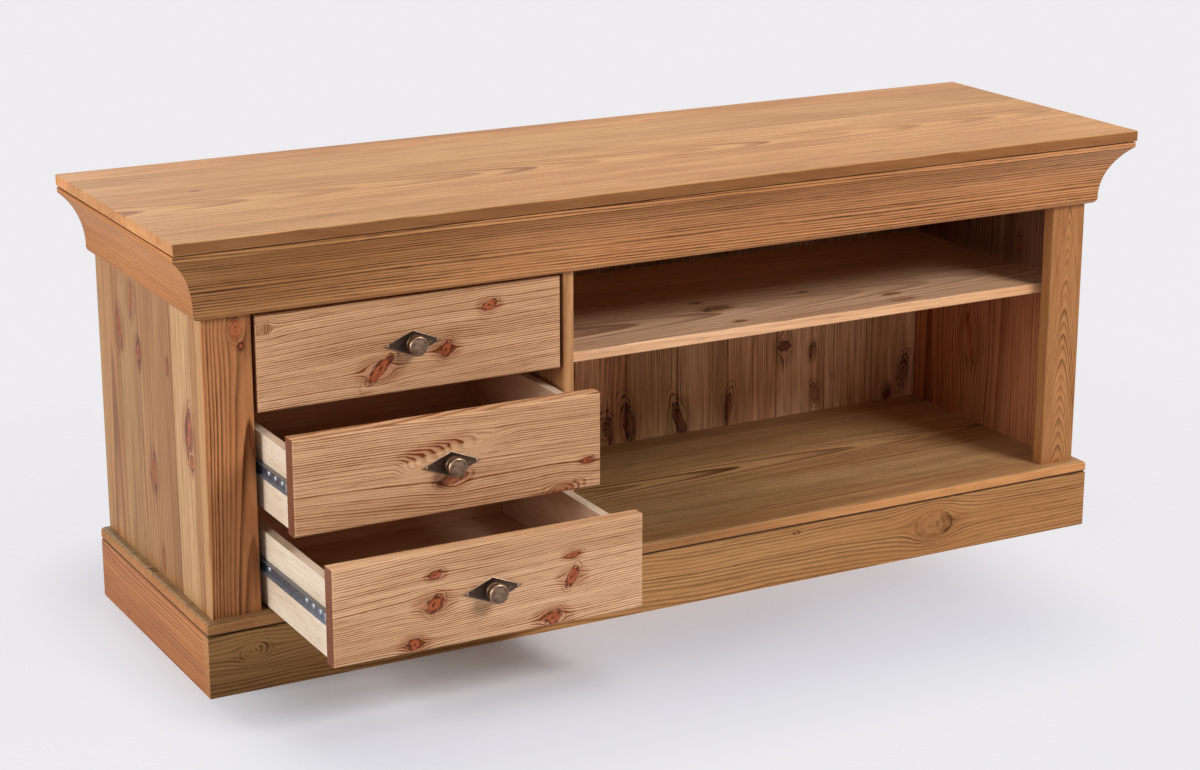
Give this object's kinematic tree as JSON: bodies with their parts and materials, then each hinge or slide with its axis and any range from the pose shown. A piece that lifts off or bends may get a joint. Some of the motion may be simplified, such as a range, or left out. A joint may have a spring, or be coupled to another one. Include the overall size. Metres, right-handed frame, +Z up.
{
  "type": "tv stand",
  "caption": "Low pine television stand with inset drawers on ball runners beside an open bay with a shelf, under a cove crown and top board, on a plinth.",
  "frame": {"origin": "on the floor, in the middle of the plinth's footprint", "axes": "+X to the right across the width, +Y to the back, +Z up; the front faces -Y"},
  "size_m": [1.45, 0.6435, 0.6],
  "materials": {
    "pine": "oiled honey pine",
    "pine_front": "oiled honey pine with lively grain",
    "back_pine": "oiled tongue and groove pine",
    "birch_ply": "pale birch plywood",
    "beech": "plain beech",
    "zinc_steel": "zinc plated sheet steel",
    "bronze": "antique bronze"
  },
  "bodies": {
    "cabinet": {"top_panel": "pine", "crown_front": "pine", "crown_left": "pine", "crown_right": "pine", "side_panel_left": "pine", "side_panel_right": "pine", "stile_left": "pine", "stile_right": "pine", "top_rail_front": "pine", "top_rail_back": "pine", "divider": "pine", "bottom_panel": "pine", "plinth_front": "pine", "plinth_left": "pine", "plinth_right": "pine", "plinth_back": "pine", "plinth_mid": "pine", "plinth_blocks": "pine", "shelf": "pine", "runner_packers": "pine", "top_battens": "pine", "back_boards": "back_pine", "carcass_dowels": "beech", "shelf_pins": "zinc_steel", "cabinet_runners": "zinc_steel"},
    "drawer_upper": {"drawer_upper_front": "pine_front", "drawer_upper_box_front": "birch_ply", "drawer_upper_side_left": "birch_ply", "drawer_upper_side_right": "birch_ply", "drawer_upper_back": "birch_ply", "drawer_upper_bottom": "birch_ply", "drawer_upper_knob": "bronze", "drawer_upper_knob_plate": "bronze", "drawer_upper_knob_screw": "zinc_steel", "drawer_upper_runners": "zinc_steel"},
    "drawer_middle": {"drawer_middle_front": "pine_front", "drawer_middle_box_front": "birch_ply", "drawer_middle_side_left": "birch_ply", "drawer_middle_side_right": "birch_ply", "drawer_middle_back": "birch_ply", "drawer_middle_bottom": "birch_ply", "drawer_middle_knob": "bronze", "drawer_middle_knob_plate": "bronze", "drawer_middle_knob_screw": "zinc_steel", "drawer_middle_runners": "zinc_steel"},
    "drawer_lower": {"drawer_lower_front": "pine_front", "drawer_lower_box_front": "birch_ply", "drawer_lower_side_left": "birch_ply", "drawer_lower_side_right": "birch_ply", "drawer_lower_back": "birch_ply", "drawer_lower_bottom": "birch_ply", "drawer_lower_knob": "bronze", "drawer_lower_knob_plate": "bronze", "drawer_lower_knob_screw": "zinc_steel", "drawer_lower_runners": "zinc_steel"},
    "cages_upper": {"ball_cages_upper": "zinc_steel"},
    "cages_middle": {"ball_cages_middle": "zinc_steel"},
    "cages_lower": {"ball_cages_lower": "zinc_steel"}
  },
  "joints": [
    {"name": "drawer_upper_slide", "type": "slide", "parent": "cabinet", "child": "drawer_upper", "axis": [0, -1, 0], "range_m": [0, 0.255]},
    {"name": "cages_upper_slide", "type": "slide", "parent": "cabinet", "child": "cages_upper", "axis": [0, -1, 0], "range_m": [0, 0.1275]},
    {"name": "drawer_middle_slide", "type": "slide", "parent": "cabinet", "child": "drawer_middle", "axis": [0, -1, 0], "range_m": [-0.11, 0.145]},
    {"name": "cages_middle_slide", "type": "slide", "parent": "cabinet", "child": "cages_middle", "axis": [0, -1, 0], "range_m": [-0.055, 0.0725]},
    {"name": "drawer_lower_slide", "type": "slide", "parent": "cabinet", "child": "drawer_lower", "axis": [0, -1, 0], "range_m": [-0.222, 0.033]},
    {"name": "cages_lower_slide", "type": "slide", "parent": "cabinet", "child": "cages_lower", "axis": [0, -1, 0], "range_m": [-0.111, 0.0165]}
  ],
  "couplings": [
    {"joint": "cages_upper_slide", "follows": "drawer_upper_slide", "ratio": 0.5},
    {"joint": "cages_middle_slide", "follows": "drawer_middle_slide", "ratio": 0.5},
    {"joint": "cages_lower_slide", "follows": "drawer_lower_slide", "ratio": 0.5}
  ]
}
